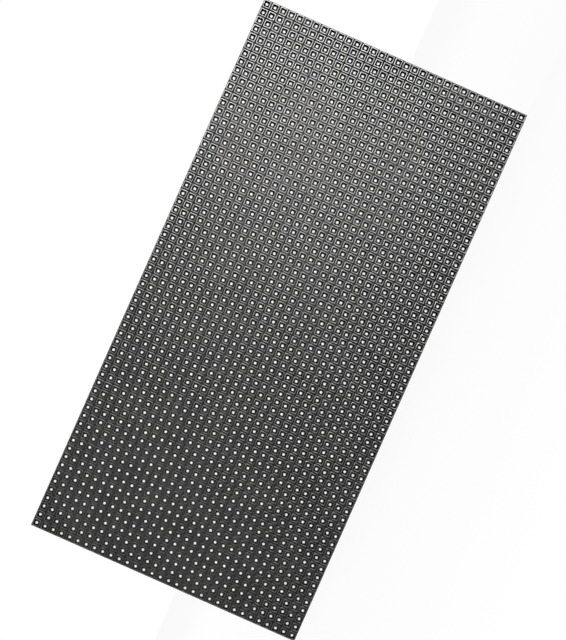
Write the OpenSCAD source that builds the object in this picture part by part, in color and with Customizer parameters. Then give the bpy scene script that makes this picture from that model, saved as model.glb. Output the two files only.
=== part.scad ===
// Full-colour lamp matrix panel: a face mask with a square window over each lamp, the lamp board
// behind it, and a moulded rear frame with brass inserts, magnet cups and ribbed channels.
// Sizes are in millimetres. The origin is the centre of the rear mounting plane. X runs along the
// panel, Z is up, and the lamps look towards -Y. Every piece is drawn as seen from the rear,
// with its height measured from the rear plane, and set upright by as_mounted().

/* [Lamp face] */
// Distance from one lamp to the next, both ways
lamp_pitch = 5; // [4:0.5:8]
// Number of lamps along the panel
lamp_columns = 64; // [32:16:96]
// Number of lamps up the panel
lamp_lines = 32; // [16:8:48]
// Side of the square window over each lamp
window_side = 2.7; // [2.3:0.1:3.6]
// Side of the square lamp body
lamp_side = 2.1; // [1.5:0.1:2.6]
// Height of a lamp above the board
lamp_height = 1.5; // [0.8:0.1:2]
// Whole depth of the face mask
mask_depth = 3.8; // [2.6:0.1:5]
// Depth of the mask's front bars, which run up the panel
front_bar_depth = 1; // [0.6:0.1:1.6]
// How far the mask stays inside the panel's pitch grid on each side
mask_edge_gap = 0.1; // [0.05:0.05:0.5]
// Radius of the mask's location pins
mask_pin_r = 0.6; // [0.4:0.1:0.9]
// Room around a location pin in its hole
mask_pin_gap = 0.1; // [0.05:0.05:0.3]

/* [Lamp board] */
// Thickness of the board
board_t = 1.6; // [1:0.1:2.4]
// How far the board stays inside the pitch grid on each side
board_edge_gap = 0.4; // [0.2:0.1:1]

/* [Rear frame] */
// Depth from the board's rear face to the rear mounting plane
frame_depth = 9.6; // [9.6:0.2:14]
// How far the frame stays inside the pitch grid on each side
frame_edge_gap = 0.2; // [0.1:0.1:1]
// Radius of the frame's outer corners
frame_corner_r = 1; // [0.4:0.1:2]
// Width of the ribbed channel that runs round the frame
rim_w = 11; // [10:0.2:13]
// Thickness of the outer wall
outer_wall = 1.6; // [1.2:0.1:2.4]
// Thickness of the walls along the openings
inner_wall = 1.4; // [1:0.1:2]
// Thickness of the channels' floor
floor_t = 1.5; // [1:0.1:2.5]
// Thickness of the bracing ribs
rib_t = 1.2; // [0.8:0.1:1.6]
// Lamps from the panel's centre to each cross bar
bar_lamps = 16; // [12:1:20]
// Width of a cross bar
bar_w = 10.8; // [9:0.2:14]
// Radius where a cross bar meets the rim
bar_fillet_r = 4; // [2:0.5:6]
// Straight length of the hand recess in each side rim
recess_len = 34; // [20:1:44]
// Depth of the hand recess
recess_depth = 3.4; // [2:0.2:4]
// Length of the slope at each end of the recess
recess_slope = 2.4; // [1:0.2:4]

/* [Inserts and magnet cups] */
// Distance from the panel's edges to the centre of an insert
insert_edge = 7; // [6:0.5:8]
// Radius of the M3 bore
insert_bore_r = 1.5; // [1.25:0.05:2]
// Radius of the insert's body
insert_body_r = 2.3; // [2:0.1:2.6]
// Radius of the insert's head
insert_head_r = 2.85; // [2.6:0.05:3.2]
// Thickness of the insert's head
insert_head_t = 0.8; // [0.5:0.1:1.5]
// Length of the insert
insert_len = 6; // [4:0.5:7]
// Radius of the boss around an insert
boss_r = 4.6; // [4.4:0.1:5]
// Distance along the panel from an insert to the magnet cup beside it
cup_offset = 12; // [11.8:0.1:12.1]
// Distance from the panel's long edges to the centre of a cup
cup_edge = 8; // [7.9:0.1:8.4]
// Outer radius of a cup
cup_r = 7.6; // [7.5:0.05:7.7]
// Inner radius of a cup, where the magnet sits
cup_bore_r = 6.65; // [6:0.05:6.8]
// Depth of a cup
cup_depth = 6; // [4:0.5:7]
// Radius of the screw hole in a cup's floor
cup_hole_r = 1.2; // [1:0.1:2]
// How far along the panel the short rib from a cup reaches on the outer wall
cup_rib_reach = 11.4; // [9:0.2:13]

/* [Plug sockets] */
// Distance between the pins of the signal sockets
pin_pitch = 2.54; // [2:0.02:2.54]
// Pins along a signal socket
pin_lines = 8; // [5:1:10]
// Side of a square signal pin
pin_side = 0.64; // [0.5:0.02:0.8]
// Room around a pin in the floor of its shell
pin_gap = 0.03; // [0.02:0.01:0.1]
// Width of a signal socket's shell
shell_w = 8.9; // [8.6:0.1:9.5]
// Height of a socket's shell
shell_h = 8.5; // [7:0.1:8.8]
// Thickness of a socket's shell
shell_wall = 1.25; // [1:0.05:1.6]
// Length of a signal socket's shell beyond its pins at each end
shell_end = 5.06; // [4.5:0.1:6]
// Thickness of a socket's floor
shell_floor = 2.4; // [2:0.1:3]
// Width of the key slot
key_w = 4.5; // [4:0.1:5]
// How far the pins stop below the mouth of the shell
pin_drop = 2; // [1:0.1:3]
// Thickness of the pins' soldered feet
foot_t = 0.35; // [0.2:0.05:0.5]
// How far the feet reach out past the shell
foot_reach = 1.2; // [0.8:0.1:1.6]
// Distance from the panel's short edges to each signal socket
socket_edge = 47; // [42:1:60]
// Height of the signal sockets above the panel's centre line
socket_rise = 1; // [-3:0.5:3]
// Distance between the pins of the power socket
power_pitch = 3.96; // [3.5:0.02:5]
// Pins in the power socket
power_pins_n = 4; // [2:1:6]
// Side of a power pin
power_pin_side = 1.14; // [1:0.02:1.3]
// Width of the power socket's base
power_base_w = 8.5; // [7:0.1:9.5]
// Thickness of the power socket's locking wall
power_lock_t = 1.2; // [1:0.1:2]

/* [Chips] */
// Lamp columns served by one column of driver chips
driver_lamps = 16; // [16:16:32]
// How far the driver columns sit to one side of their lamps
driver_shift = -3; // [-5:0.5:5]
// Distance between the driver chips of one half, up the panel
driver_step = 15; // [13:0.5:18]
// Height of the nearest driver chips above the centre line
driver_first = 32; // [28:1:36]
// Length, width, lead span and height of a driver chip
driver_size = [8.65, 3.9, 6, 1.5];
// Leads on one side of a driver chip, and their pitch
driver_leads = [12, 0.635];
// Length, width, lead span and height of a signal buffer
buffer_size = [6.5, 4.4, 6.4, 1.1];
// Leads on one side of a buffer, and their pitch
buffer_leads = [10, 0.65];
// Distance of the buffers from the panel's short edges, and up from its centre line
buffer_from = [22, 22];
// Length, width, lead span and height of a row switch
switch_size = [9.9, 3.9, 6, 1.6];
// Leads on one side of a row switch, and their pitch
switch_leads = [8, 1.27];
// Distance of the row switches from the panel's centre, along and up
switch_at = [20, 24];
// Gap between a chip's body and the board
chip_lift = 0.1; // [0.05:0.05:0.2]
// Length, width and height of a capacitor
cap_size = [2, 1.25, 0.8];
// Distance from a driver chip to its capacitor, along and up
cap_from_driver = [7.6, 2];
// Distance from a buffer to its capacitor, along and up
cap_from_buffer = [7, 2];

/* [Hidden] */
$fn = 48;
eps = 1;

panel_w = lamp_pitch * lamp_columns;
panel_h = lamp_pitch * lamp_lines;
frame_w = panel_w - 2 * frame_edge_gap;
frame_h = panel_h - 2 * frame_edge_gap;
mask_w = panel_w - 2 * mask_edge_gap;
mask_h = panel_h - 2 * mask_edge_gap;
open_x = frame_w / 2 - rim_w;
open_y = frame_h / 2 - rim_w;
bar_x = bar_lamps * lamp_pitch;
insert_at = [panel_w / 2 - insert_edge, panel_h / 2 - insert_edge];
cup_at = [insert_at[0] - cup_offset, panel_h / 2 - cup_edge];
socket_x = panel_w / 2 - socket_edge;
buffer_at = [panel_w / 2 - buffer_from[0], buffer_from[1]];
board_rear = -frame_depth;
board_front = board_rear - board_t;
face = board_front - mask_depth;
shell_l = (pin_lines - 1) * pin_pitch + 2 * shell_end;

// Rib ends as shares of their bay, first on the outer wall and then on the inner wall
cup_bay_ribs = [[0.308, 0.5], [0.451, 0.607], [0.813, 0.631]];
centre_bay_ribs = [[0.108, 0.26], [0.498, 0.365], [0.612, 0.765], [1, 0.875]];
// Rib ends up the side rims as shares of half the height, outer wall first
side_ribs = [[0.594, 0.727], [0.48, 0.338]];
recess_rib = [0.094, 0.17];
// Rib ends up the cross bars as shares of half the height, side wall first
bar_ribs = [[0.778, 0.732], [0.543, 0.581], [0.46, 0.393], [0.218, 0.272], [0.129, 0.068]];
// Location pins of the mask, in lamps along and up from the centre
mask_pins_at = [[25.5, 0], [25.5, 8], [23.5, 8], [20.5, 8]];

module as_mounted() { rotate([90, 0, 180]) children(); }
module both_ways() { children(); mirror([1, 0, 0]) children(); }
module four_ways() { both_ways() { children(); mirror([0, 1, 0]) children(); } }

module rounded_rect(w, h, r) {
    square([w - 2 * r, h], center = true);
    square([w, h - 2 * r], center = true);
    for (x = [-1, 1], y = [-1, 1]) translate([x * (w / 2 - r), y * (h / 2 - r)]) circle(r);
}

// A rib with square ends between two points of the plan
module rib(p, q) {
    d = q - p;
    translate(p) rotate(atan2(d[1], d[0])) translate([0, -rib_t / 2]) square([norm(d), rib_t]);
}

// The three openings on the board, grown by g on every side
module frame_openings(g) {
    side_w = open_x - bar_x - bar_w / 2;
    q = recess_slope / recess_depth;
    k = g * (sqrt(1 + q * q) - q);
    rounded_rect(2 * (bar_x - bar_w / 2 + g), 2 * (open_y + g), bar_fillet_r + g);
    both_ways() {
        translate([-open_x + side_w / 2, 0])
            rounded_rect(side_w + 2 * g, 2 * (open_y + g), bar_fillet_r + g);
        polygon([[-open_x + 2, recess_len / 2 + recess_slope + k],
            [-open_x - g, recess_len / 2 + recess_slope + k],
            [-open_x - recess_depth - g, recess_len / 2 + k],
            [-open_x - recess_depth - g, -recess_len / 2 - k],
            [-open_x - g, -recess_len / 2 - recess_slope - k],
            [-open_x + 2, -recess_len / 2 - recess_slope - k]]);
    }
}

module frame_ribs() {
    out_x = frame_w / 2 - outer_wall / 2;
    out_y = frame_h / 2 - outer_wall / 2;
    in_x = open_x + inner_wall / 2;
    in_y = open_y + inner_wall / 2;
    cup_bay = cup_at[0] - bar_x;
    four_ways() {
        for (r = cup_bay_ribs)
            rib([-cup_at[0] + r[0] * cup_bay, out_y], [-cup_at[0] + r[1] * cup_bay, in_y]);
        for (r = centre_bay_ribs)
            rib([-bar_x + r[0] * bar_x, out_y], [-bar_x + r[1] * bar_x, in_y]);
        for (r = side_ribs)
            rib([-out_x, r[0] * frame_h / 2], [-in_x, r[1] * frame_h / 2]);
        rib([-out_x, recess_rib[0] * frame_h / 2],
            [-in_x - recess_depth, recess_rib[1] * frame_h / 2]);
        // The short rib from the cup to the long wall, and the rib from the corner to the boss
        rib([-cup_at[0] + 0.62 * cup_r, cup_at[1] + 0.62 * cup_r], [-cup_at[0] + cup_rib_reach, out_y]);
        rib([-out_x, out_y], [-insert_at[0] - 1, insert_at[1] + 1]);
        for (s = [-1, 1], r = bar_ribs)
            rib([-bar_x + s * (bar_w / 2 - inner_wall / 2), r[0] * frame_h / 2],
                [-bar_x, r[1] * frame_h / 2]);
    }
    both_ways() translate([-bar_x, 0]) square([rib_t, 2 * out_y], center = true);
}

module frame_plan() {
    difference() {
        union() {
            difference() {
                rounded_rect(frame_w, frame_h, frame_corner_r);
                square([frame_w - 2 * outer_wall, frame_h - 2 * outer_wall], center = true);
            }
            frame_openings(inner_wall);
            frame_ribs();
        }
        frame_openings(0);
    }
}

module rear_frame() {
    color([0.11, 0.11, 0.11]) as_mounted() difference() {
        union() {
            translate([0, 0, -frame_depth]) linear_extrude(floor_t) difference() {
                rounded_rect(frame_w, frame_h, frame_corner_r);
                frame_openings(0);
            }
            translate([0, 0, -frame_depth]) linear_extrude(frame_depth) frame_plan();
            for (x = [-1, 1], y = [-1, 1]) {
                translate([x * cup_at[0], y * cup_at[1], -frame_depth])
                    cylinder(r = cup_r, h = frame_depth);
                translate([x * insert_at[0], y * insert_at[1], -frame_depth])
                    cylinder(r = boss_r, h = frame_depth);
                // The gusset that closes the corner between a cup and the side rim
                translate([x * (open_x - 0.1 * cup_r), y * (cup_at[1] - 0.36 * cup_r),
                    -frame_depth / 2]) cube([0.6 * cup_r, 0.72 * cup_r, frame_depth], center = true);
            }
        }
        for (x = [-1, 1], y = [-1, 1]) {
            translate([x * cup_at[0], y * cup_at[1], -cup_depth])
                cylinder(r = cup_bore_r, h = cup_depth + eps);
            translate([x * cup_at[0], y * cup_at[1], -frame_depth - eps])
                cylinder(r = cup_hole_r, h = frame_depth);
            translate([x * insert_at[0], y * insert_at[1], -insert_len])
                cylinder(r = insert_body_r, h = insert_len + eps);
            translate([x * insert_at[0], y * insert_at[1], -insert_head_t])
                cylinder(r = insert_head_r, h = insert_head_t + eps);
        }
    }
}

module circuit_board() {
    color([0.13, 0.14, 0.15]) as_mounted() difference() {
        translate([0, 0, (board_rear + board_front) / 2])
            cube([panel_w - 2 * board_edge_gap, panel_h - 2 * board_edge_gap, board_t],
                center = true);
        mask_pin_places() translate([0, 0, board_front - eps])
            cylinder(r = mask_pin_r + mask_pin_gap, h = board_t + 2 * eps);
    }
}

module mask_pin_places() {
    four_ways() for (p = mask_pins_at)
        if (p[1] > 0) translate([-p[0] * lamp_pitch, p[1] * lamp_pitch, 0]) children();
    both_ways() for (p = mask_pins_at)
        if (p[1] == 0) translate([-p[0] * lamp_pitch, 0, 0]) children();
}

// One moulding in two layers of bars. The slots of the rear layer run along the panel and those
// of the front layer run up it, so that they open a square window over every lamp.
module face_mask() {
    color([0.2, 0.2, 0.2]) as_mounted() union() {
        difference() {
            translate([-mask_w / 2, -mask_h / 2, face])
                cube([mask_w, mask_h, front_bar_depth]);
            for (i = [0 : lamp_columns - 1])
                translate([(i - (lamp_columns - 1) / 2) * lamp_pitch - window_side / 2,
                    -(panel_h - lamp_pitch + window_side) / 2, face - eps])
                    cube([window_side, panel_h - lamp_pitch + window_side,
                        front_bar_depth + 2 * eps]);
        }
        difference() {
            translate([-mask_w / 2, -mask_h / 2, face + front_bar_depth])
                cube([mask_w, mask_h, mask_depth - front_bar_depth]);
            for (j = [0 : lamp_lines - 1])
                translate([-(panel_w - lamp_pitch + window_side) / 2,
                    (j - (lamp_lines - 1) / 2) * lamp_pitch - window_side / 2, face - eps])
                    cube([panel_w - lamp_pitch + window_side, window_side,
                        mask_depth + 2 * eps]);
        }
        mask_pin_places() translate([0, 0, board_front - 0.5])
            cylinder(r = mask_pin_r, h = board_t + 0.5);
    }
}

// One strip stands for the lamps of one row, and shows a lamp in each window
module lamp_rows() {
    color([0.92, 0.92, 0.88]) as_mounted() for (j = [0 : lamp_lines - 1])
        translate([0, (j - (lamp_lines - 1) / 2) * lamp_pitch, board_front - lamp_height / 2])
            cube([panel_w - lamp_pitch + lamp_side, lamp_side, lamp_height], center = true);
}

module threaded_insert(sx, sy) {
    color([0.85, 0.68, 0.2]) as_mounted()
        translate([sx * insert_at[0], sy * insert_at[1], 0]) rotate_extrude()
            polygon([[insert_bore_r, -insert_len], [insert_body_r, -insert_len],
                [insert_body_r, -insert_head_t], [insert_head_r, -insert_head_t],
                [insert_head_r, 0], [insert_bore_r, 0]]);
}

module signal_pin_places() {
    for (x = [-1, 1], j = [0 : pin_lines - 1])
        translate([x * pin_pitch / 2, (j - (pin_lines - 1) / 2) * pin_pitch, 0]) children();
}

// A shell open to the rear, with a key slot in one long wall
module signal_socket(sx) {
    base = board_rear + foot_t;
    color([0.07, 0.07, 0.07]) as_mounted() translate([sx * socket_x, socket_rise, base])
        difference() {
            translate([-shell_w / 2, -shell_l / 2, 0]) cube([shell_w, shell_l, shell_h]);
            translate([-shell_w / 2 + shell_wall, -shell_l / 2 + shell_wall, shell_floor])
                cube([shell_w - 2 * shell_wall, shell_l - 2 * shell_wall, shell_h]);
            translate([-shell_w / 2 - eps, -key_w / 2, shell_floor])
                cube([shell_wall + 2 * eps, key_w, shell_h]);
            signal_pin_places() translate([0, 0, shell_floor / 2])
                cube([pin_side + 2 * pin_gap, pin_side + 2 * pin_gap, shell_floor + 2 * eps],
                    center = true);
        }
}

module signal_pins(sx) {
    reach = shell_w / 2 + foot_reach - pin_pitch / 2 + pin_side / 2;
    tip = foot_t + shell_h - pin_drop;
    color([0.8, 0.76, 0.62]) as_mounted()
        translate([sx * socket_x, socket_rise, board_rear])
            for (x = [-1, 1], j = [0 : pin_lines - 1])
                translate([x * pin_pitch / 2, (j - (pin_lines - 1) / 2) * pin_pitch, 0]) union() {
                    translate([0, 0, tip / 2]) cube([pin_side, pin_side, tip], center = true);
                    translate([x * (reach - pin_side) / 2, 0, foot_t / 2])
                        cube([reach, pin_side, foot_t], center = true);
                }
}

module power_socket() {
    l = power_pins_n * power_pitch + 2;
    color([0.93, 0.92, 0.88]) as_mounted() translate([0, 0, board_rear]) difference() {
        union() {
            translate([-power_base_w / 2, -l / 2, 0]) cube([power_base_w, l, shell_floor]);
            translate([-power_base_w / 2, -l / 2, 0]) cube([power_lock_t, l, shell_h]);
        }
        for (j = [0 : power_pins_n - 1])
            translate([0, (j - (power_pins_n - 1) / 2) * power_pitch, shell_floor / 2])
                cube([power_pin_side + 2 * pin_gap, power_pin_side + 2 * pin_gap,
                    shell_floor + 2 * eps], center = true);
    }
}

module power_pins() {
    tip = foot_t + shell_h - pin_drop;
    color([0.8, 0.8, 0.8]) as_mounted() translate([0, 0, board_rear])
        for (j = [0 : power_pins_n - 1])
            translate([0, (j - (power_pins_n - 1) / 2) * power_pitch, tip / 2])
                cube([power_pin_side, power_pin_side, tip], center = true);
}

// A chip with its long side up the panel and leads bent down to the board on both sides
module chip(size, leads, at) {
    b = size[1] / 2;
    s = size[2] / 2;
    mid = chip_lift + size[3] / 2;
    color([0.16, 0.16, 0.14]) as_mounted() translate([at[0], at[1], board_rear]) union() {
        translate([-b, -size[0] / 2, chip_lift]) cube([size[1], size[0], size[3]]);
        for (j = [0 : leads[0] - 1])
            translate([0, (j - (leads[0] - 1) / 2) * leads[1] + 0.14, 0]) rotate([90, 0, 0])
                linear_extrude(0.28) both_ways()
                    polygon([[b - 0.2, mid + 0.1], [b + 0.3, mid + 0.1], [s - 0.4, 0.2], [s, 0.2],
                        [s, 0], [s - 0.5, 0], [b - 0.2, mid - 0.2]]);
    }
}

// Driver chips are numbered up each column, from the left column to the right one
module driver(n) {
    col = floor((n - 1) / 6);
    step = (n - 1) % 6;
    cols = lamp_columns / driver_lamps;
    up = step < 3 ? -driver_first - (2 - step) * driver_step
        : driver_first + (step - 3) * driver_step;
    chip(driver_size, driver_leads,
        [(col - (cols - 1) / 2) * driver_lamps * lamp_pitch + driver_shift, up]);
}

module buffer(sy) { chip(buffer_size, buffer_leads, [-buffer_at[0], sy * buffer_at[1]]); }
module row_switch(sx, sy) {
    chip(switch_size, switch_leads, [sx * switch_at[0], sy * switch_at[1]]);
}

module capacitors() {
    cols = lamp_columns / driver_lamps;
    color([0.55, 0.5, 0.42]) as_mounted() union() {
        for (c = [0 : cols - 1], sy = [-1, 1], r = [0 : 2])
            capacitor([(c - (cols - 1) / 2) * driver_lamps * lamp_pitch + driver_shift
                + cap_from_driver[0],
                sy * (driver_first + r * driver_step) + cap_from_driver[1]]);
        for (sy = [-1, 1]) capacitor([-buffer_at[0] + cap_from_buffer[0],
            sy * buffer_at[1] + cap_from_buffer[1]]);
    }
}

module capacitor(at) {
    translate([at[0], at[1], board_rear + cap_size[2] / 2])
        cube([cap_size[1], cap_size[0], cap_size[2]], center = true);
}

rear_frame();
circuit_board();
face_mask();
lamp_rows();
threaded_insert(-1, 1);  // insert_upper_left
threaded_insert(1, 1);  // insert_upper_right
threaded_insert(-1, -1);  // insert_lower_left
threaded_insert(1, -1);  // insert_lower_right
signal_socket(-1);  // input_socket
signal_pins(-1);  // input_pins
signal_socket(1);  // output_socket
signal_pins(1);  // output_pins
power_socket();
power_pins();
driver(1);  // driver_1
driver(2);  // driver_2
driver(3);  // driver_3
driver(4);  // driver_4
driver(5);  // driver_5
driver(6);  // driver_6
driver(7);  // driver_7
driver(8);  // driver_8
driver(9);  // driver_9
driver(10);  // driver_10
driver(11);  // driver_11
driver(12);  // driver_12
driver(13);  // driver_13
driver(14);  // driver_14
driver(15);  // driver_15
driver(16);  // driver_16
driver(17);  // driver_17
driver(18);  // driver_18
driver(19);  // driver_19
driver(20);  // driver_20
driver(21);  // driver_21
driver(22);  // driver_22
driver(23);  // driver_23
driver(24);  // driver_24
buffer(1);  // buffer_1
buffer(-1);  // buffer_2
row_switch(-1, 1);  // row_switch_1
row_switch(1, 1);  // row_switch_2
row_switch(-1, -1);  // row_switch_3
row_switch(1, -1);  // row_switch_4
capacitors();
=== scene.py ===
# %% [markdown]
# # A full-colour lamp matrix panel
# The object is a flat module 320 mm long, 160 mm high and 15 mm deep. Its front is a black mask
# with 2048 square windows, 5 mm apart, and a small square lamp behind each one. Its rear is a
# moulded frame round the circuit board. The CAD model already holds every solid at its true size.
# This lesson loads it as a fixed frame and adds what is too fine for it: the raised rim of each
# window, the lamps one by one, the ends of the capacitors, the printed marks on the board, and a
# finish for every surface.

# %% Load the frame
import bpy
import bmesh
import math
from mathutils import Matrix, Vector


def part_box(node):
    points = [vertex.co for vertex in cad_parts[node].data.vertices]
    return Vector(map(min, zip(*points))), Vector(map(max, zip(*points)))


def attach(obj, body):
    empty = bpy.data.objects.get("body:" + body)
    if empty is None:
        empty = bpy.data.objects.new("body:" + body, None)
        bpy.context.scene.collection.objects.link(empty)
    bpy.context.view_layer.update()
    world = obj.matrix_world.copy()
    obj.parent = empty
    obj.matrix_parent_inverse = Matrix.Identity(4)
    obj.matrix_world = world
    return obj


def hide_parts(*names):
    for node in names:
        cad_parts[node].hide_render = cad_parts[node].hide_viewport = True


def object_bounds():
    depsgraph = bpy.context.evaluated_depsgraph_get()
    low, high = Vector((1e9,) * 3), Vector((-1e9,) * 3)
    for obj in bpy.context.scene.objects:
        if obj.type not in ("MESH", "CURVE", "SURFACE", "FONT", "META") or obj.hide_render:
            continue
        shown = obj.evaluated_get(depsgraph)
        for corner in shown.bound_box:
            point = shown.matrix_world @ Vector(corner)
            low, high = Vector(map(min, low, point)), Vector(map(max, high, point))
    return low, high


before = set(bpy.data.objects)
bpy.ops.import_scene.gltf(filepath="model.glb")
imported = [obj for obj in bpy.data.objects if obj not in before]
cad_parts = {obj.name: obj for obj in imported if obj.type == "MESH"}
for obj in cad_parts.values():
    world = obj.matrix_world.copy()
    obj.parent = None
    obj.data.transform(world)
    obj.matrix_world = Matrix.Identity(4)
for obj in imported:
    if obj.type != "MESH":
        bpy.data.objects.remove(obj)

cad_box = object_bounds()
MM = 0.001
print("CAD nodes:", len(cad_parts), "box:", [[round(v, 4) for v in corner] for corner in cad_box])

# %% [markdown]
# ## The camera
# The photograph looks straight at the lamps through a long lens, with the picture turned so that
# the panel's long side runs from lower left to upper right. A camera could be turned by Euler
# angles and trimmed by eye. Here its three axes are written down instead, because the direction
# in which the panel's X axis points in the picture is known: 66 degrees up from the horizontal.
# The lens then follows from the scale, 1.8 pixels for each millimetre at 1.8 m.

# %% Place the camera
VIEW_DISTANCE = 1800 * MM
PIXELS_PER_MM = 1.799
PICTURE_HEIGHT = 640
TURN = math.radians(66.07)

forward = Vector((0.0095, 1.0, -0.0139)).normalized()
right = Vector((math.cos(TURN), 0, -math.sin(TURN)))
right = (right - forward * right.dot(forward)).normalized()
up = right.cross(forward)
lamp_plane = Vector((0, -13.5 * MM, 0))
target = lamp_plane + right * 2.0 * MM - up * 0.13 * MM

camera_data = bpy.data.cameras.new("camera")
camera_data.sensor_fit = "VERTICAL"
camera_data.sensor_height = 36
camera_data.lens = PIXELS_PER_MM * 1000 * VIEW_DISTANCE * 36 / PICTURE_HEIGHT
camera = bpy.data.objects.new("camera", camera_data)
bpy.context.scene.collection.objects.link(camera)
camera.matrix_world = Matrix((
    (right.x, up.x, -forward.x, 0), (right.y, up.y, -forward.y, 0),
    (right.z, up.z, -forward.z, 0), (0, 0, 0, 1)))
camera.location = target - forward * VIEW_DISTANCE
bpy.context.scene.camera = camera
print("lens", round(camera_data.lens, 1), "mm, camera at", [round(v, 3) for v in camera.location])

# %% [markdown]
# ## Working by hand, in code
# Every new piece starts as a primitive and is shaped in edit mode. An operator acts on all that
# is selected, so three small helpers keep the selection clean: one picks a single object, one
# opens it in edit mode with nothing selected, and one selects the faces, edges or points that
# pass a test of their place. A last helper closes the piece: its place goes into its mesh.

# %% Helpers for modelling
def pick(piece):
    bpy.ops.object.select_all(action="DESELECT")
    piece.select_set(True)
    bpy.context.view_layer.objects.active = piece


def open_piece(piece, kind="FACE"):
    pick(piece)
    bpy.ops.object.mode_set(mode="EDIT")
    bpy.ops.mesh.select_mode(type=kind)
    bpy.ops.mesh.select_all(action="DESELECT")


def close_piece():
    bpy.ops.object.mode_set(mode="OBJECT")


def select_where(piece, kind, test):
    bpy.ops.mesh.select_all(action="DESELECT")
    mesh = bmesh.from_edit_mesh(piece.data)
    parts = {"VERT": mesh.verts, "EDGE": mesh.edges, "FACE": mesh.faces}[kind]
    for part in parts:
        if kind == "VERT":
            middle = part.co
        elif kind == "EDGE":
            middle = (part.verts[0].co + part.verts[1].co) / 2
        else:
            middle = part.calc_center_median()
        if test(part, middle):
            part.select = True
    mesh.select_flush_mode()
    bmesh.update_edit_mesh(piece.data)


def set_place(piece, name):
    piece.name = name
    piece.data.name = name
    pick(piece)
    bpy.ops.object.transform_apply(location=True, rotation=True, scale=True)
    return piece


def apply_modifiers(piece):
    pick(piece)
    for name in [m.name for m in piece.modifiers]:
        bpy.ops.object.modifier_apply(modifier=name)


def face_outwards(piece):
    open_piece(piece)
    bpy.ops.mesh.select_all(action="SELECT")
    bpy.ops.mesh.normals_make_consistent(inside=False)
    close_piece()


def report(piece):
    print(piece.name, "-", len(piece.data.polygons), "faces")


print("modelling helpers ready")

# %% [markdown]
# ## Building finishes from nodes
# A finish is one Principled shader with a few textures in front of it, all reading Object
# coordinates, which are metres in the panel's own frame. The helpers below add one node each, so
# that a finish reads like a recipe. A value that is the same all over goes straight on the
# shader's socket.

# %% Helpers for finishes
class Finish:
    def __init__(self, name, colour, roughness, metallic=0.0, specular=0.5):
        self.material = bpy.data.materials.new(name)
        self.material.use_nodes = True
        self.tree = self.material.node_tree
        self.shader = self.tree.nodes["Principled BSDF"]
        self.shader.inputs["Base Color"].default_value = (*colour, 1)
        self.shader.inputs["Roughness"].default_value = roughness
        self.shader.inputs["Metallic"].default_value = metallic
        self.shader.inputs["Specular IOR Level"].default_value = specular
        self.place = self.tree.nodes.new("ShaderNodeTexCoord").outputs["Object"]

    def link(self, a, b):
        self.tree.links.new(a, b)

    def set_input(self, socket, value):
        if isinstance(value, bpy.types.NodeSocket):
            self.link(value, socket)
        else:
            socket.default_value = value

    def stretched(self, scale, location=(0, 0, 0)):
        node = self.tree.nodes.new("ShaderNodeMapping")
        node.inputs["Scale"].default_value = scale
        node.inputs["Location"].default_value = location
        self.link(self.place, node.inputs["Vector"])
        return node.outputs["Vector"]

    def noise(self, scale, detail=3.0, rough=0.5, vector=None):
        node = self.tree.nodes.new("ShaderNodeTexNoise")
        node.inputs["Scale"].default_value = scale
        node.inputs["Detail"].default_value = detail
        node.inputs["Roughness"].default_value = rough
        self.link(vector or self.place, node.inputs["Vector"])
        return node.outputs["Fac"]

    def cells(self, scale, vector=None, feature="F1", output="Distance"):
        node = self.tree.nodes.new("ShaderNodeTexVoronoi")
        node.feature = feature
        node.inputs["Scale"].default_value = scale
        self.link(vector or self.place, node.inputs["Vector"])
        return node.outputs[output]

    def math(self, operation, a, b=0.0, c=0.0, clamp=False):
        node = self.tree.nodes.new("ShaderNodeMath")
        node.operation = operation
        node.use_clamp = clamp
        for socket, value in zip(node.inputs, (a, b, c)):
            self.set_input(socket, value)
        return node.outputs["Value"]

    def vector(self, operation, a, b=(0, 0, 0), output="Vector"):
        node = self.tree.nodes.new("ShaderNodeVectorMath")
        node.operation = operation
        self.set_input(node.inputs[0], a)
        self.set_input(node.inputs[1], b)
        return node.outputs[output]

    def distance(self, a, b):
        squares = [self.math("MULTIPLY", side, side) for side in (a, b)]
        return self.math("SQRT", self.math("ADD", *squares))

    def axes(self, vector=None):
        node = self.tree.nodes.new("ShaderNodeSeparateXYZ")
        self.link(vector or self.place, node.inputs[0])
        return node.outputs[0], node.outputs[1], node.outputs[2]

    def step(self, value, low, high, a=0.0, b=1.0):
        node = self.tree.nodes.new("ShaderNodeMapRange")
        node.interpolation_type = "SMOOTHSTEP"
        node.inputs["From Min"].default_value = low
        node.inputs["From Max"].default_value = high
        node.inputs["To Min"].default_value = a
        node.inputs["To Max"].default_value = b
        self.link(value, node.inputs["Value"])
        return node.outputs["Result"]

    def blend(self, factor, a, b):
        node = self.tree.nodes.new("ShaderNodeMix")
        node.data_type = "RGBA"
        node.clamp_factor = True
        self.set_input(node.inputs["Factor"], factor)
        for socket, value in ((node.inputs[6], a), (node.inputs[7], b)):
            if isinstance(value, tuple):
                value = (*value, 1)
            self.set_input(socket, value)
        return node.outputs[2]

    def colour(self, value):
        self.link(value, self.shader.inputs["Base Color"])

    def roughness(self, value):
        self.link(value, self.shader.inputs["Roughness"])

    def bump(self, height, distance, strength=1.0):
        node = self.tree.nodes.new("ShaderNodeBump")
        node.inputs["Distance"].default_value = distance
        node.inputs["Strength"].default_value = strength
        self.link(height, node.inputs["Height"])
        self.link(node.outputs["Normal"], self.shader.inputs["Normal"])


def dress(piece, *materials):
    piece.data.materials.clear()
    for material in materials:
        piece.data.materials.append(material)


def dress_node(node, finish):
    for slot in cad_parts[node].material_slots:
        slot.material = finish.material


print("finish helpers ready")
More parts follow.
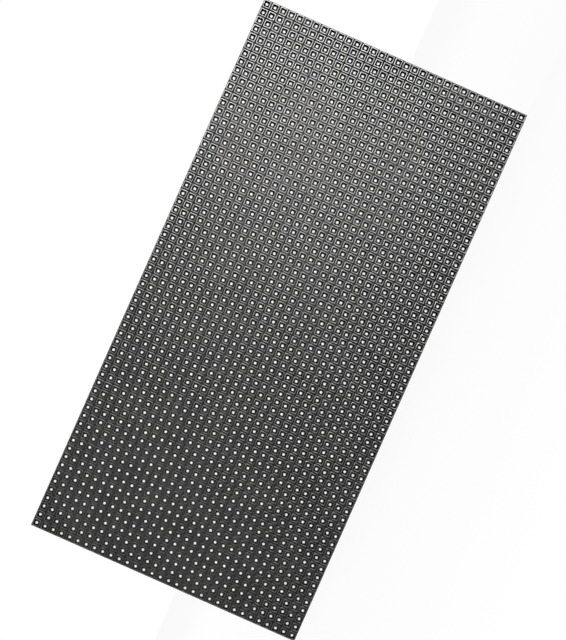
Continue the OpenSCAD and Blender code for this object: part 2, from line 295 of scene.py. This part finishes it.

# %% [markdown]
# ## The mask's plastic
# The mask is one black moulding. Its surface is finely matt, but the raised rims are smoother, because they
# are the highest lands of the mould and get touched, so they catch the light as grey lines. Their colour is
# also painted a lighter grey than the rest, as a painted sheen. Two finishes share one recipe and differ in
# colour and gloss. A single finish with a mask by height would also work, but two slots are easier to read and
# to change.

# %% Mask finishes
def mask_finish(name, dark, light, roughness):
    finish = Finish(name, dark, roughness)
    cloudy = finish.noise(60, 2)
    grain = finish.noise(9000, 2)
    finish.colour(finish.blend(finish.step(cloudy, 0.3, 0.7), dark, light))
    finish.roughness(finish.step(finish.noise(500, 3), 0.3, 0.7, roughness - 0.05, roughness + 0.05))
    finish.bump(grain, 0.01 * MM, 0.6)
    return finish


mask_matt = mask_finish("mask matt black", (0.003, 0.003, 0.003), (0.007, 0.007, 0.006), 0.75)
mask_matt.shader.inputs["Specular IOR Level"].default_value = 0.08
# The rims' lighter grey colour is a painted sheen; their low roughness is real gloss.
mask_rim_painted_sheen = mask_finish("mask rim painted sheen", (0.018, 0.018, 0.018), (0.034, 0.035, 0.034), 0.21)
mask_rim_painted_sheen.shader.inputs["Specular IOR Level"].default_value = 0.55
print("mask finishes:", mask_matt.material.name, "and", mask_rim_painted_sheen.material.name)

# %% [markdown]
# ## One window of the mask
# Each lamp sits at the bottom of a square well. Round the well runs a raised rim with a slightly
# crowned top, a narrow groove separates it from the next one, and the well narrows towards its
# bottom. The whole section can be made from one plane by repeated insets: each inset makes one
# ring, and its depth lifts or drops the middle. At the end the middle face goes, and the back is
# closed by pulling the last four edges out to the border of the cell.

# %% Model one cell
PITCH = 5 * MM
COLUMNS, LINES = 64, 32
mask_low, mask_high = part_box("face_mask")
FACE = mask_low.y
MASK_BACK = -11.2 * MM
CROWN = [(0.08, 0.02), (0.17, 0.015), (0.17, -0.015), (0.08, -0.02)]
WELL_TAPER = 0.33 * MM
first = Vector((-(COLUMNS - 1) / 2 * PITCH, 0, -(LINES - 1) / 2 * PITCH))

# Inset and rise of each ring in millimetres, from the groove in to the wall of the well
RINGS = [(0.3, 0), (0.03, 0.5), (0.04, 0.05)] + CROWN + [(0.04, -0.05), (0.04, -0.5)]
groove_depth = sum(rise for inwards, rise in RINGS if rise > 0) * MM

bpy.ops.object.select_all(action="DESELECT")
bpy.ops.mesh.primitive_plane_add(size=PITCH, location=(first.x, FACE + groove_depth, first.z),
                                 rotation=(math.radians(90), 0, 0))
mask = set_place(bpy.context.object, "window_mask")
open_piece(mask)
bpy.ops.mesh.select_all(action="SELECT")
for inwards, rise in RINGS:
    bpy.ops.mesh.inset(thickness=inwards * MM, depth=rise * MM)
well = PITCH / 2 - sum(r[0] for r in RINGS) * MM
sunk = FACE + groove_depth - sum(r[1] for r in RINGS) * MM
bpy.ops.mesh.inset(thickness=WELL_TAPER, depth=-(MASK_BACK - sunk))
well -= WELL_TAPER
bpy.ops.mesh.delete(type="FACE")
bpy.ops.mesh.select_mode(type="EDGE")
select_where(mask, "EDGE", lambda e, m: all(abs(v.co.y - MASK_BACK) < 0.01 * MM for v in e.verts))
bpy.ops.mesh.extrude_edges_move()
spread = PITCH / 2 / well
bpy.ops.transform.resize(value=(spread, 1, spread), center_override=(first.x, MASK_BACK, first.z))
close_piece()
print("well", round(well * 2 / MM, 2), "mm wide at the back")

# %% Mark the rim's faces
dress(mask, mask_matt.material, mask_rim_painted_sheen.material)
for face in mask.data.polygons:
    reach = max(abs(face.center.x - first.x), abs(face.center.z - first.z))
    if 1.6 * MM < reach < 2.16 * MM and face.center.y < FACE + 0.1 * MM:
        face.material_index = 1
print("rim faces:", sum(f.material_index for f in mask.data.polygons))

# %% [markdown]
# ## The whole mask
# The cell is repeated by two Array modifiers with merge on, so neighbours share their border.
# Copying 2048 objects and joining them would give the same mesh, but much more slowly. Then the
# outermost points move in by a tenth of a millimetre, to the mask's true edge, and bridging the
# front and back borders makes the four side walls and closes the solid.

# %% Repeat the cell and close the edges
for count, offset in ((COLUMNS, (PITCH, 0, 0)), (LINES, (0, 0, PITCH))):
    array = mask.modifiers.new("repeat", "ARRAY")
    array.count = count
    array.use_relative_offset = False
    array.use_constant_offset = True
    array.constant_offset_displace = offset
    array.use_merge_vertices = True
    array.merge_threshold = 0.01 * MM
apply_modifiers(mask)

half_w, half_h = COLUMNS * PITCH / 2, LINES * PITCH / 2
open_piece(mask, "VERT")
select_where(mask, "VERT", lambda v, m: abs(m.x) > half_w - 0.05 * MM)
bpy.ops.transform.resize(value=(mask_high.x / half_w, 1, 1), center_override=(0, 0, 0))
select_where(mask, "VERT", lambda v, m: abs(m.z) > half_h - 0.05 * MM)
bpy.ops.transform.resize(value=(1, 1, mask_high.z / half_h), center_override=(0, 0, 0))
bpy.ops.mesh.select_mode(type="EDGE")
select_where(mask, "EDGE", lambda e, m: e.is_boundary)
bpy.ops.mesh.bridge_edge_loops()
close_piece()
face_outwards(mask)
pick(mask)
bpy.ops.object.shade_smooth_by_angle(angle=math.radians(40))
report(mask)

# %% [markdown]
# ## The mask's location pins
# Fourteen small pins on the mask's back pass through the board and hold the mask in place. From
# the rear they show as dots in their holes. Each is a short cylinder whose end is rounded by a
# bevel. One is modelled and the others are copies of it.

# %% Pins through the board
board_low, board_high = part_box("circuit_board")
PIN_PLACES = [(x * sx * PITCH, z * sz * PITCH) for x, z in ((25.5, 0), (25.5, 8), (23.5, 8), (20.5, 8))
              for sx in (-1, 1) for sz in ((-1, 1) if z else (1,))]


def copy_to(piece, places):
    copies = [piece]
    for shift in places[1:]:
        pick(piece)
        bpy.ops.object.duplicate(linked=False)
        copies.append(bpy.context.object)
        bpy.ops.transform.translate(value=Vector(shift) - Vector(places[0]))
    bpy.ops.object.select_all(action="DESELECT")
    for copy in copies:
        copy.select_set(True)
    bpy.context.view_layer.objects.active = piece
    bpy.ops.object.join()
    return set_place(piece, piece.name)


pin_length = board_high.y - MASK_BACK
bpy.ops.object.select_all(action="DESELECT")
bpy.ops.mesh.primitive_cylinder_add(
    vertices=20, radius=0.6 * MM, depth=pin_length, rotation=(math.radians(90), 0, 0),
    location=(PIN_PLACES[0][0], (board_high.y + MASK_BACK) / 2, PIN_PLACES[0][1]))
pins = set_place(bpy.context.object, "mask_pins")
open_piece(pins, "EDGE")
select_where(pins, "EDGE", lambda e, m: all(v.co.y > board_high.y - 0.01 * MM for v in e.verts))
bpy.ops.mesh.bevel(offset=0.2 * MM, segments=3, affect="EDGES")
close_piece()
pins = copy_to(pins, [(x, 0, z) for x, z in PIN_PLACES])
pick(pins)
bpy.ops.object.shade_smooth_by_angle(angle=math.radians(50))
dress(pins, mask_matt.material)
report(pins)

# %% [markdown]
# ## The lamps
# Behind each window sits a square surface-mounted lamp: a black body 2.1 mm wide and a pale lens
# with a shallow hollow in it. 2048 of them have to stay light, so the body is a cube with its
# front edges bevelled, and the lens is a cylinder with twelve sides, squared up a little because
# the real lens is a square with round corners.

# %% Model one lamp body and one lens
lamp_low, lamp_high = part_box("lamp_rows")
LAMP_SIDE = 2.1 * MM
LENS_SIDE = 1.46 * MM
lens_rise = 0.25 * MM
body_front = lamp_low.y + lens_rise
body_depth = lamp_high.y - body_front

bpy.ops.object.select_all(action="DESELECT")
bpy.ops.mesh.primitive_cube_add(size=1, location=(first.x, (lamp_high.y + body_front) / 2, first.z),
                                scale=(LAMP_SIDE, body_depth, LAMP_SIDE))
lamp_bodies = set_place(bpy.context.object, "lamp_bodies")
open_piece(lamp_bodies, "EDGE")
select_where(lamp_bodies, "EDGE", lambda e, m: all(v.co.y < body_front + 0.01 * MM for v in e.verts))
bpy.ops.mesh.bevel(offset=0.1 * MM, segments=1, affect="EDGES")
close_piece()

bpy.ops.object.select_all(action="DESELECT")
bpy.ops.mesh.primitive_cylinder_add(
    vertices=12, radius=LENS_SIDE / 2, depth=lens_rise + 0.1 * MM,
    rotation=(math.radians(90), math.radians(15), 0),
    location=(first.x, lamp_low.y + (lens_rise + 0.1 * MM) / 2, first.z))
lenses = set_place(bpy.context.object, "lamp_lenses")
open_piece(lenses, "VERT")
corner_test = lambda v, m: abs(abs(m.x - first.x) - abs(m.z - first.z)) < 0.1 * MM
select_where(lenses, "VERT", corner_test)
bpy.ops.transform.resize(value=(1.13, 1, 1.13), center_override=(first.x, 0, first.z))
bpy.ops.mesh.select_mode(type="FACE")
select_where(lenses, "FACE", lambda f, m: f.normal.y < -0.9)
bpy.ops.mesh.inset(thickness=0.06 * MM, depth=0)
bpy.ops.mesh.inset(thickness=0.4 * MM, depth=-0.2 * MM)
close_piece()
print("one lamp:", len(lamp_bodies.data.polygons), "+", len(lenses.data.polygons), "faces")

# %% Repeat the lamps
for piece in (lamp_bodies, lenses):
    for count, offset in ((COLUMNS, (PITCH, 0, 0)), (LINES, (0, 0, PITCH))):
        array = piece.modifiers.new("repeat", "ARRAY")
        array.count = count
        array.use_relative_offset = False
        array.use_constant_offset = True
        array.constant_offset_displace = offset
    apply_modifiers(piece)
    face_outwards(piece)
    report(piece)

# %% [markdown]
# ## Lamp finishes
# No two lamps are quite alike: most lenses are neutral and some are warm, greenish or bluish, and
# three tiny dies show through each. Both come from the place of the lens. Snapping the coordinates
# to the 5 mm grid gives every lamp one number, and what is left over is the place on the lens.

# %% Lens and body finishes
lens = Finish("lamp lens", (0.86, 0.86, 0.83), 0.45, specular=0.3)
cell = lens.vector("SNAP", lens.vector("ADD", lens.place, (1.0, 0, 1.0)), (PITCH, 1.0, PITCH))
on_lamp = lens.vector("SUBTRACT", lens.vector("ADD", lens.place, (1.0, 0, 1.0)), cell)
on_lamp = lens.vector("SUBTRACT", on_lamp, (PITCH / 2, 0, PITCH / 2))
tint = lens.tree.nodes.new("ShaderNodeTexWhiteNoise")
tint.noise_dimensions = "3D"
lens.link(lens.vector("ADD", cell, (PITCH / 2, 0.5, PITCH / 2)), tint.inputs["Vector"])
chance = tint.outputs["Value"]
shade = lens.blend(lens.step(chance, 0.0, 0.3), (0.82, 0.86, 0.78), (0.87, 0.87, 0.845))
shade = lens.blend(lens.step(chance, 0.86, 0.93), shade, (0.88, 0.855, 0.79))
shade = lens.blend(lens.step(chance, 0.95, 1.0), shade, (0.8, 0.83, 0.87))
dx, dy, dz = lens.axes(on_lamp)
dies = None
for x, z in ((-0.28, 0.22), (0.02, -0.25), (0.3, 0.2)):
    gap = lens.math("MAXIMUM", lens.math("ABSOLUTE", lens.math("SUBTRACT", dx, x * MM)),
                    lens.math("ABSOLUTE", lens.math("SUBTRACT", dz, z * MM)))
    spot = lens.step(gap, 0.08 * MM, 0.14 * MM, 1.0, 0.0)
    dies = spot if dies is None else lens.math("MAXIMUM", dies, spot)
lens.colour(lens.blend(lens.math("MULTIPLY", dies, 0.22), shade, (0.55, 0.5, 0.36)))
lens.bump(lens.noise(4000, 2), 0.01 * MM, 0.3)

lamp_body = Finish("lamp body", (0.003, 0.003, 0.003), 0.75, specular=0.06)
lamp_body.colour(lamp_body.blend(lamp_body.noise(1200, 2), (0.002, 0.002, 0.002), (0.006, 0.006, 0.006)))
lamp_body.bump(lamp_body.noise(9000, 2), 0.01 * MM, 0.4)
dress(lenses, lens.material)
dress(lamp_bodies, lamp_body.material)
print("lamp finishes ready")

# %% [markdown]
# ## The rear frame's plastic
# The frame is a black moulding. The floor of its channels has a coarse spark texture that glitters a little,
# and its walls are smooth. Its top edges are painted a little lighter than the rest. Height tells them apart:
# the floor lies 8.1 mm below the rear plane, and the top edges lie in it.

# %% Frame finish
frame_plastic = Finish("frame plastic", (0.02, 0.02, 0.02), 0.5)
fx, fy, fz = frame_plastic.axes()
on_floor = frame_plastic.step(fy, -8.0 * MM, -7.9 * MM, 1.0, 0.0)
on_top = frame_plastic.step(fy, -0.25 * MM, -0.05 * MM)
spark = frame_plastic.cells(1300)
dust = frame_plastic.step(frame_plastic.noise(2200, 4, 0.7), 0.56, 0.68)
base = frame_plastic.blend(frame_plastic.noise(35, 3), (0.034, 0.034, 0.033), (0.052, 0.052, 0.05))
base = frame_plastic.blend(frame_plastic.math("MULTIPLY", on_floor, 0.5), base, (0.075, 0.075, 0.072))
base = frame_plastic.blend(frame_plastic.math("MULTIPLY", dust, frame_plastic.math("MULTIPLY", on_floor, 0.7)),
                           base, (0.3, 0.3, 0.29))
# The top edges are painted a little lighter.
base = frame_plastic.blend(frame_plastic.math("MULTIPLY", on_top, 0.7), base, (0.085, 0.085, 0.082))
frame_plastic.colour(base)
frame_plastic.roughness(frame_plastic.math("ADD", frame_plastic.math("MULTIPLY", on_floor, 0.06), 0.4))
rough_floor = frame_plastic.math("MULTIPLY", spark, on_floor)
fine = frame_plastic.math("MULTIPLY", frame_plastic.noise(5000, 2), 0.12)
frame_plastic.bump(frame_plastic.math("ADD", rough_floor, fine), 0.22 * MM, 0.9)
dress_node("rear_frame", frame_plastic)
print("frame finish ready")

# %% [markdown]
# ## The circuit board's finish
# The board's rear has a dark lacquer, and its grey colour is a painted sheen. Copper tracks run under it along
# the panel and show as fine streaks, whose lighter colour is painted sheen too, with dark dashed lines and a
# few vias between them. The dark middle of each via is painted shade in its hole.
# Noise stretched along X gives the streaks, lines every 1.9 mm that a second noise breaks up give
# the dashes, and a Voronoi texture cut at a small distance gives the vias. The board's front,
# which shows a little round the lamps, is matt black.

# %% Board finish
board = Finish("board lacquer", (0.05, 0.052, 0.052), 0.36)
track_place = board.stretched((12, 1, 900))
tracks_and_sheen = board.step(board.noise(1.0, 2, 0.4, track_place), 0.42, 0.58)
line_place = board.math("ABSOLUTE", board.math("SUBTRACT", board.math(
    "MODULO", board.math("ADD", board.axes()[2], 0.4), 1.9 * MM), 0.95 * MM))
dashes = board.step(board.noise(1.0, 2, 0.6, board.stretched((420, 1, 530))), 0.46, 0.54)
dark_lines = board.math("MULTIPLY", board.step(line_place, 0.1 * MM, 0.25 * MM, 1.0, 0.0), dashes)
wide_tracks_and_sheen = board.step(board.noise(1.0, 1, 0.4, board.stretched((9, 1, 160), (3, 0, 7))), 0.45, 0.6)
via_gap = board.cells(110)
vias = board.step(via_gap, 0.035, 0.045, 1.0, 0.0)
via_ring = board.math("SUBTRACT", board.step(via_gap, 0.05, 0.06, 1.0, 0.0), vias, clamp=True)
# The grey base and the lighter track streaks are painted sheen on the dark lacquer.
base = board.blend(tracks_and_sheen, (0.085, 0.088, 0.088), (0.125, 0.128, 0.126))
base = board.blend(board.math("MULTIPLY", wide_tracks_and_sheen, 0.4), base, (0.15, 0.152, 0.148))
base = board.blend(board.math("MULTIPLY", dark_lines, 0.75), base, (0.03, 0.031, 0.032))
base = board.blend(board.math("MULTIPLY", via_ring, 0.35), base, (0.22, 0.21, 0.19))
# The dark middle of each via is painted shade in its hole.
base = board.blend(vias, base, (0.008, 0.008, 0.008))
on_front = board.step(board.axes()[1], -11.1 * MM, -10.9 * MM, 1.0, 0.0)
board.colour(board.blend(on_front, base, (0.003, 0.003, 0.003)))
gloss = board.step(tracks_and_sheen, 0, 1, 0.42, 0.32)
board.roughness(board.math("MAXIMUM", gloss, board.math("MULTIPLY", on_front, 0.85)))
board.bump(board.math("ADD", tracks_and_sheen, board.math("MULTIPLY", vias, -1.5)), 0.035 * MM, 0.7)
dress_node("circuit_board", board)
print("board finish ready")

# %% [markdown]
# ## Chips
# The chips are right as the CAD has them, so they only get finishes. A chip is one solid with its
# leads, and the leads must look tinned: they are whatever lies further from the chip's middle line
# than half its body's width. A dimple in one corner marks the first pin. The drivers repeat every
# 80 mm along the panel and every 15 mm up it, so two modulos find the middle of each.

# %% Chip finishes
DIMPLE_INSET = 0.8 * MM
DIMPLE_R = 0.4 * MM


def chip_finish(name, from_middle, half_width, half_length):
    finish = Finish(name, (0.15, 0.15, 0.11), 0.45)
    dx, dz = from_middle(finish)
    lead = finish.step(finish.math("ABSOLUTE", dx), half_width + 0.01 * MM, half_width + 0.05 * MM)
    from_dimple = finish.distance(finish.math("SUBTRACT", dx, half_width - DIMPLE_INSET),
                                  finish.math("SUBTRACT", dz, half_length - DIMPLE_INSET))
    dimple = finish.step(from_dimple, DIMPLE_R - 0.06 * MM, DIMPLE_R, 1.0, 0.0)
    speck = finish.noise(3500, 3)
    # The body's olive grey is a painted sheen on black epoxy.
    body = finish.blend(speck, (0.12, 0.118, 0.085), (0.19, 0.185, 0.135))
    body = finish.blend(finish.math("MULTIPLY", dimple, 0.5), body, (0.06, 0.06, 0.045))
    tin = finish.blend(finish.noise(2500, 3), (0.5, 0.51, 0.46), (0.66, 0.67, 0.62))
    finish.colour(finish.blend(lead, body, tin))
    finish.link(finish.math("MULTIPLY", lead, 0.5), finish.shader.inputs["Metallic"])
    finish.roughness(finish.step(lead, 0, 1, 0.5, 0.34))
    finish.bump(finish.math("SUBTRACT", speck, finish.math("MULTIPLY", dimple, 4.0)), 0.02 * MM, 0.5)
    return finish


def from_nearer_line(finish, axis, distance):
    """The signed way from the nearer one of two lines, this far to each side of the middle."""
    place = finish.axes()[axis]
    return finish.math("SUBTRACT", place, finish.math("MULTIPLY", finish.math("SIGN", place), distance))


def from_driver(finish):
    x = finish.math("MODULO", finish.math("ADD", finish.axes()[0], 400 * MM), 80 * MM)
    z = finish.math("ADD", from_nearer_line(finish, 2, 32 * MM), 37.5 * MM)
    return (finish.math("SUBTRACT", x, 43 * MM),
            finish.math("SUBTRACT", finish.math("MODULO", z, 15 * MM), 7.5 * MM))


def from_chip_at(x, z):
    def from_middle(finish):
        return from_nearer_line(finish, 0, x * MM), from_nearer_line(finish, 2, z * MM)
    return from_middle


driver_chip = chip_finish("driver chip", from_driver, 1.95 * MM, 4.325 * MM)
buffer_chip = chip_finish("buffer chip", from_chip_at(138, 22), 2.2 * MM, 3.25 * MM)
switch_chip = chip_finish("row switch chip", from_chip_at(20, 24), 1.95 * MM, 4.95 * MM)
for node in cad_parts:
    if node.startswith("driver_"):
        dress_node(node, driver_chip)
    elif node.startswith("buffer_"):
        dress_node(node, buffer_chip)
    elif node.startswith("row_switch_"):
        dress_node(node, switch_chip)

print("chip finishes ready")

# %% [markdown]
# ## The capacitors
# One ceramic capacitor stands beside each chip: a brown block whose two ends are dipped in tin.
# The two materials could share a block and be told apart by colour, but the tin is thicker than
# the ceramic, and the small step is what makes the part read. So the block and its ends are
# separate bevelled pieces, modelled once and copied to all 26 places.

# %% Model the capacitors
cap_low, cap_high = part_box("capacitors")
CAP_SIDE, CAP_LENGTH, CAP_END = 1.25 * MM, 2.0 * MM, 0.45 * MM
cap_places = [(x * MM, 0, z * MM) for x in (115.4, 35.4, -44.6, -124.6) for z in (34, 49, 64, -30, -45, -60)]
cap_places += [(131 * MM, 0, 24 * MM), (131 * MM, 0, -20 * MM)]


def bevelled_block(name, location, size, bevel):
    bpy.ops.object.select_all(action="DESELECT")
    bpy.ops.mesh.primitive_cube_add(size=1, location=location, scale=size)
    block = set_place(bpy.context.object, name)
    open_piece(block, "EDGE")
    bpy.ops.mesh.select_all(action="SELECT")
    bpy.ops.mesh.bevel(offset=bevel, segments=2, affect="EDGES")
    close_piece()
    return block


rise = cap_high.y - cap_low.y
x, y, z = cap_places[0]
cap_blocks = bevelled_block("capacitor_blocks", (x, cap_low.y + rise * 0.47, z),
                            (CAP_SIDE * 0.93, rise * 0.9, CAP_LENGTH - CAP_END), 0.06 * MM)
reach = (CAP_LENGTH - CAP_END) / 2
cap_ends = bevelled_block("capacitor_ends", (x, (cap_low.y + cap_high.y) / 2, z + reach),
                          (CAP_SIDE, rise, CAP_END), 0.09 * MM)
cap_blocks = copy_to(cap_blocks, cap_places)
cap_ends = copy_to(cap_ends, [(x, y, z + side * reach) for x, y, z in cap_places for side in (1, -1)])
for piece in (cap_blocks, cap_ends):
    pick(piece)
    bpy.ops.object.shade_smooth_by_angle(angle=math.radians(35))
    report(piece)

# %% Capacitor finishes
ceramic = Finish("capacitor ceramic", (0.12, 0.07, 0.04), 0.5)
ceramic.colour(ceramic.blend(ceramic.noise(1800, 3), (0.09, 0.052, 0.03), (0.15, 0.09, 0.052)))
ceramic.bump(ceramic.noise(6000, 2), 0.01 * MM, 0.4)
dip = Finish("dipped tin", (0.7, 0.69, 0.66), 0.32, metallic=0.6)
dip.colour(dip.blend(dip.noise(2200, 3), (0.6, 0.59, 0.56), (0.78, 0.77, 0.75)))
dip.bump(dip.noise(3000, 3), 0.02 * MM, 0.5)
dress(cap_blocks, ceramic.material)
dress(cap_ends, dip.material)
print("capacitor finishes ready")

# %% [markdown]
# ## Sockets, pins and inserts
# These too keep the CAD's shapes. The signal sockets are black with a greyer edge at the mouth,
# the power socket is pale nylon, and the pins are tinned. In the brass inserts the bore is darker
# than the rest, and a sine wave along it stands for the thread.

# %% Socket, pin and insert finishes
socket_plastic = Finish("socket plastic", (0.014, 0.014, 0.014), 0.42)
sx, sy, sz = socket_plastic.axes()
mouth = socket_plastic.step(sy, -1.1 * MM, -0.8 * MM)
base = socket_plastic.blend(socket_plastic.noise(900, 3), (0.01, 0.01, 0.01), (0.02, 0.02, 0.02))
socket_plastic.colour(socket_plastic.blend(socket_plastic.math("MULTIPLY", mouth, 0.8), base, (0.1, 0.1, 0.1)))
socket_plastic.bump(socket_plastic.noise(4000, 2), 0.02 * MM, 0.4)
for node in ("input_socket", "output_socket"):
    dress_node(node, socket_plastic)

nylon = Finish("socket nylon", (0.78, 0.76, 0.7), 0.45)
nylon.colour(nylon.blend(nylon.noise(300, 3), (0.74, 0.72, 0.66), (0.82, 0.8, 0.745)))
nylon.bump(nylon.noise(2500, 2), 0.02 * MM, 0.4)
nylon.shader.inputs["Subsurface Weight"].default_value = 0.15
nylon.shader.inputs["Subsurface Radius"].default_value = (0.001, 0.0009, 0.0007)
dress_node("power_socket", nylon)

tin = Finish("tinned pins", (0.72, 0.69, 0.6), 0.3, metallic=1.0)
tin.colour(tin.blend(tin.noise(1500, 3), (0.62, 0.58, 0.48), (0.8, 0.78, 0.72)))
tin.bump(tin.noise(5000, 2), 0.01 * MM, 0.4)
for node in ("input_pins", "output_pins", "power_pins"):
    dress_node(node, tin)

brass = Finish("insert brass", (0.8, 0.58, 0.2), 0.3, metallic=1.0)
bx, by, bz = brass.axes()
off_x = brass.math("SUBTRACT", brass.math("ABSOLUTE", bx), 153 * MM)
off_z = brass.math("SUBTRACT", brass.math("ABSOLUTE", bz), 73 * MM)
from_axis = brass.distance(off_x, off_z)
bore = brass.step(from_axis, 1.52 * MM, 1.6 * MM, 1.0, 0.0)
worn = brass.blend(brass.noise(800, 3), (0.8, 0.47, 0.05), (0.92, 0.62, 0.12))
brass.colour(brass.blend(brass.math("MULTIPLY", bore, 0.85), worn, (0.34, 0.11, 0.03)))
brass.bump(brass.math("SINE", brass.math("MULTIPLY", by, 2 * math.pi / (0.5 * MM))), 0.03 * MM, 0.5)
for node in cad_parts:
    if node.startswith("insert_"):
        dress_node(node, brass)
print("socket, pin and insert finishes ready")

# %% [markdown]
# ## Printed marks on the board
# White ink marks the board: a thin rectangle inside the frame's openings, three outline arrows,
# two rings by the corners and an outline round each capacitor. They could be painted by the
# board's material, but ink is a raised film with sharp edges, so each is a real outline: a flat
# shape is inset by the width of the line, its middle is deleted, and the rest is extruded to the
# thickness of the ink.

# %% Ink finish
ink = Finish("white ink", (0.8, 0.81, 0.79), 0.55)
ink.colour(ink.blend(ink.step(ink.noise(1800, 3), 0.3, 0.6), (0.7, 0.71, 0.69), (0.84, 0.85, 0.83)))
ink.bump(ink.noise(4000, 2), 0.01 * MM, 0.5)
INK_DEPTH = 0.04 * MM
BOARD_REAR = board_high.y
print("ink finish ready")

# %% Helpers for outlines
def outline(name, corners, line):
    """A closed outline on the board, from corners as seen from the rear (x to the right)."""
    bpy.ops.object.select_all(action="DESELECT")
    bpy.ops.mesh.primitive_circle_add(vertices=len(corners), radius=1, fill_type="NGON",
                                      location=(0, 0, 0), rotation=(0, 0, 0))
    piece = bpy.context.object
    piece.name = name
    for point, (x, z) in zip(piece.data.vertices, corners):
        point.co = (-x * MM, BOARD_REAR, z * MM)
    face_outwards(piece)
    open_piece(piece)
    bpy.ops.mesh.select_all(action="SELECT")
    bpy.ops.mesh.inset(thickness=line * MM, depth=0)
    bpy.ops.mesh.delete(type="FACE")
    bpy.ops.mesh.select_all(action="SELECT")
    bpy.ops.mesh.extrude_region_move(TRANSFORM_OT_translate={"value": (0, INK_DEPTH, 0)})
    close_piece()
    face_outwards(piece)
    dress(piece, ink.material)
    return piece


def ring_corners(x, z, radius, sides=20):
    return [(x + radius * math.cos(2 * math.pi * i / sides),
             z + radius * math.sin(2 * math.pi * i / sides)) for i in range(sides)]


def arrow_corners(x, z, length, head, shaft, turned=False):
    back, neck, tip = -length / 2, length / 2 - head / 2, length / 2
    shape = [(back, -shaft / 2), (neck, -shaft / 2), (neck, -head / 2), (tip, 0),
             (neck, head / 2), (neck, shaft / 2), (back, shaft / 2)]
    if turned:
        shape = [(-b, a) for a, b in shape]
    return [(x + a, z + b) for a, b in shape]


print("outline helpers ready")

# %% Print the marks
marks = [
    outline("border_print", [(-139.5, -60.5), (139.5, -60.5), (139.5, 60.5), (-139.5, 60.5)], 0.8),
    outline("arrow_print_left", arrow_corners(-99, -20.5, 15, 10.5, 4.5), 0.7),
    outline("arrow_print_right", arrow_corners(99, -22, 15, 10.5, 4.5), 0.7),
    outline("arrow_print_up", arrow_corners(-56, 47.5, 15, 10.5, 4.5, True), 0.7),
    outline("ring_print_left", ring_corners(-144.8, 61.9, 1.65), 0.55),
    outline("ring_print_right", ring_corners(137.2, -56.9, 1.65), 0.55),
]
x, y, z = cap_places[0]
cap_ring = outline("capacitor_prints", [(-x / MM + a, z / MM + b) for a, b in (
    (-2.2, -2.3), (1.3, -2.3), (2.2, -1.4), (2.2, 1.4), (1.3, 2.3), (-2.2, 2.3))], 0.5)
marks.append(copy_to(cap_ring, cap_places))
for piece in marks:
    report(piece)

# %% [markdown]
# ## Everything rides on the frame
# The panel has no moving parts, so every new piece rides on the one body. Pieces that stand for
# a CAD node also replace it.

# %% Ride and replace
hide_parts("face_mask")
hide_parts("face_mask")
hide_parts("lamp_rows")
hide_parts("lamp_rows")
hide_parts("capacitors")
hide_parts("capacitors")
for piece, slot in ((mask, "mask_plastic"), (pins, "mask_plastic"), (lamp_bodies, "lamp"), (lenses, "lamp"),
                    (cap_blocks, "capacitor"), (cap_ends, "capacitor")):
    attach(piece, "root")
for piece in marks:
    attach(piece, "root")
print("pieces ride on the body")

# %% [markdown]
# ## Floor and light
# The photograph has a white ground and soft light from above the picture. The panel stands on a
# pale floor. The world is white to the camera and in reflections, and gives a moderate fill. The
# main softbox is near the camera, towards the top of the picture, so that it shines into the
# wells and its reflection brightens the rims at that end. A second one stands further up, and
# two more light the rear.

# %% Floor
bpy.ops.object.select_all(action="DESELECT")
bpy.ops.mesh.primitive_plane_add(size=8, location=(0, 0, cad_box[0][2]))
floor = bpy.context.object
floor.name = "floor"
ground = Finish("pale floor", (0.82, 0.82, 0.81), 0.8, specular=0.2)
ground.colour(ground.blend(ground.noise(4, 2), (0.81, 0.81, 0.8), (0.84, 0.84, 0.83)))
path = ground.tree.nodes.new("ShaderNodeLightPath")
seen = ground.math("MAXIMUM", path.outputs["Is Camera Ray"],
                   ground.math("MAXIMUM", path.outputs["Is Glossy Ray"], path.outputs["Is Transmission Ray"]))
glow = ground.tree.nodes.new("ShaderNodeEmission")
mixer = ground.tree.nodes.new("ShaderNodeMixShader")
ground.link(ground.math("MULTIPLY", seen, 0.93), mixer.inputs["Fac"])
ground.link(ground.shader.outputs[0], mixer.inputs[1])
ground.link(glow.outputs[0], mixer.inputs[2])
ground.link(mixer.outputs[0], ground.tree.nodes["Material Output"].inputs["Surface"])
dress(floor, ground.material)
print("floor at", round(cad_box[0][2], 4))

# %% World and lights
FILL = 0.34
world = bpy.data.worlds.new("white room")
bpy.context.scene.world = world
world.use_nodes = True
tree = world.node_tree
background = tree.nodes["Background"]
background.inputs["Color"].default_value = (1, 1, 1, 1)
path = tree.nodes.new("ShaderNodeLightPath")
seen = tree.nodes.new("ShaderNodeMath")
seen.operation = "MAXIMUM"
tree.links.new(path.outputs["Is Camera Ray"], seen.inputs[0])
glossy = tree.nodes.new("ShaderNodeMath")
glossy.operation = "MAXIMUM"
tree.links.new(path.outputs["Is Glossy Ray"], glossy.inputs[0])
tree.links.new(path.outputs["Is Transmission Ray"], glossy.inputs[1])
tree.links.new(glossy.outputs[0], seen.inputs[1])
strength = tree.nodes.new("ShaderNodeMapRange")
strength.inputs["To Min"].default_value = FILL
strength.inputs["To Max"].default_value = 1.0
tree.links.new(seen.outputs[0], strength.inputs["Value"])
tree.links.new(strength.outputs["Result"], background.inputs["Strength"])


def softbox(name, location, size, share):
    """An area light that gives a white surface facing it this share of full white."""
    data = bpy.data.lights.new(name, "AREA")
    data.shape = "SQUARE"
    data.size = size
    distance = Vector(location).length
    data.energy = share * math.pi ** 2 * distance ** 2
    lamp = bpy.data.objects.new(name, data)
    bpy.context.scene.collection.objects.link(lamp)
    lamp.location = location
    lamp.rotation_euler = (-Vector(location)).to_track_quat("-Z", "Y").to_euler()
    return lamp


softbox("softbox front", (0.29, -1.55, 0.06), 0.3, 0.62)
softbox("softbox top", up * 0.8 + Vector((0, -1.5, 0)), 0.4, 0.25)
softbox("softbox rear", (-0.9, 1.5, 1.1), 1.0, 0.45)
softbox("softbox rear low", (1.3, 1.3, 0.4), 1.0, 0.2)
bpy.context.scene.view_settings.view_transform = "Standard"
